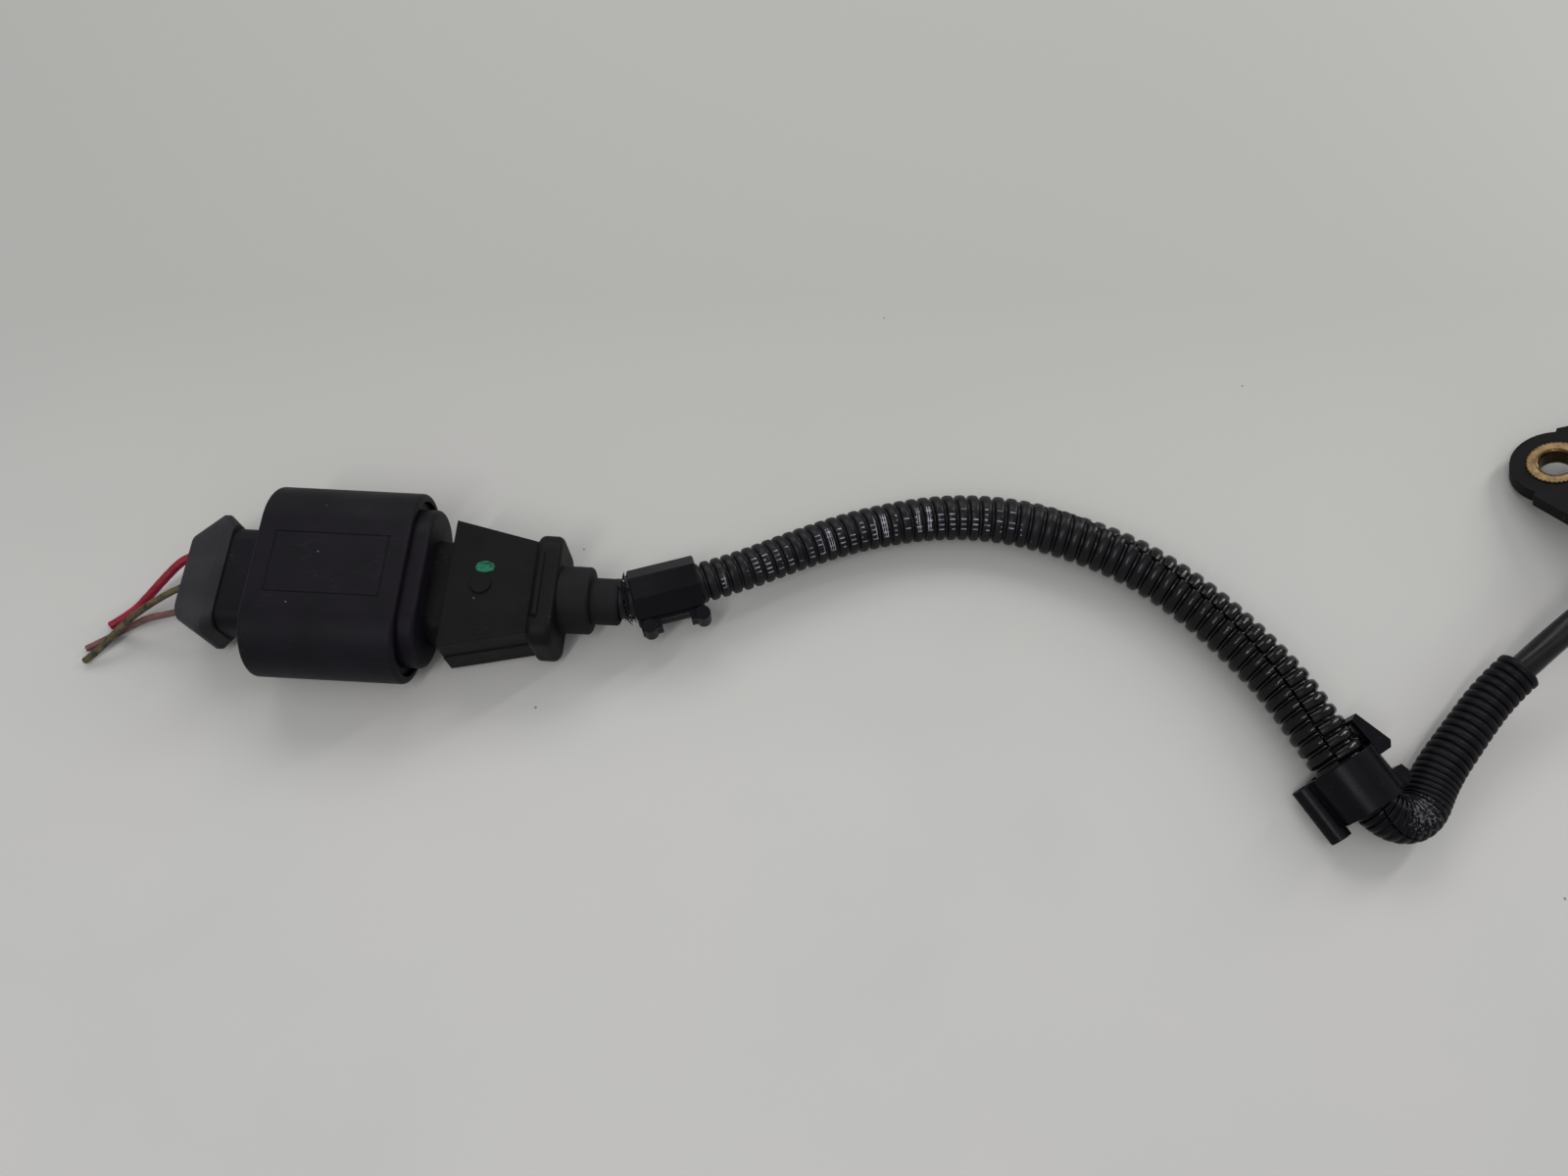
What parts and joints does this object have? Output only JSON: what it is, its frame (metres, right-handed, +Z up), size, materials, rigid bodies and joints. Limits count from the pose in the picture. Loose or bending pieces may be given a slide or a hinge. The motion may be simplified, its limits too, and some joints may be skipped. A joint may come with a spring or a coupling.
{
  "type": "engine shaft position sensor",
  "caption": "Bolt-on engine shaft position sensor with an O-ring probe, a corrugated conduit lead and its mated sealed connector.",
  "frame": {"origin": "on the table under the middle of the sensor head's box, without the lead and what is on it", "axes": "+Z up from the table; +X along the head's longest side, from its mounting ear to its capped body; the lead runs off to -X"},
  "size_m": [0.3585, 0.0941, 0.0346],
  "materials": {
    "head_plastic": "satin moulded nylon, black",
    "bush_brass": "turned brass, dull with a bright lip",
    "seal_rubber": "matte",
    "chip_plastic": "matte moulded package",
    "magnet_metal": "plated magnet",
    "carrier_plastic": "matte",
    "potting_resin": "glossy cast resin",
    "contact_metal": "tinned copper alloy",
    "cable_jacket": "satin jacket with a soft highlight",
    "conduit_plastic": "oily satin corrugated plastic",
    "cloth_tape": "matte cloth tape",
    "wire_red": "satin insulation",
    "wire_grey": "satin insulation",
    "wire_brown": "satin insulation",
    "connector_plastic": "satin moulded nylon, scuffed",
    "cap_plastic": "satin moulded nylon",
    "plug_plastic": "satin moulded nylon with a paint dot",
    "grommet_rubber": "matte",
    "clip_plastic": "satin moulded nylon"
  },
  "bodies": {
    "root": {"sensor_body": "head_plastic", "mounting_bush": "bush_brass", "probe_o_ring": "seal_rubber", "hall_chip": "chip_plastic", "bias_magnet": "magnet_metal", "insert_carrier": "carrier_plastic", "potting_fill": "potting_resin", "lead_strip_a": "contact_metal", "lead_strip_b": "contact_metal", "lead_strip_c": "contact_metal", "lead_cable": "cable_jacket", "conduit_small": "conduit_plastic", "conduit_large": "conduit_plastic", "tape_wrap": "cloth_tape", "wire_red": "wire_red", "wire_grey": "wire_grey", "wire_brown": "wire_brown", "lock_sleeve": "connector_plastic", "collar_ring": "connector_plastic", "socket_body": "connector_plastic", "interface_seal": "seal_rubber", "wire_seal": "seal_rubber", "rear_cap": "cap_plastic", "plug_housing": "plug_plastic", "cable_grommet": "grommet_rubber", "socket_terminal_a": "contact_metal", "socket_terminal_b": "contact_metal", "socket_terminal_c": "contact_metal", "plug_tab_a": "contact_metal", "plug_tab_b": "contact_metal", "plug_tab_c": "contact_metal", "plug_clip": "clip_plastic", "bend_clip": "clip_plastic"}
  },
  "joints": []
}
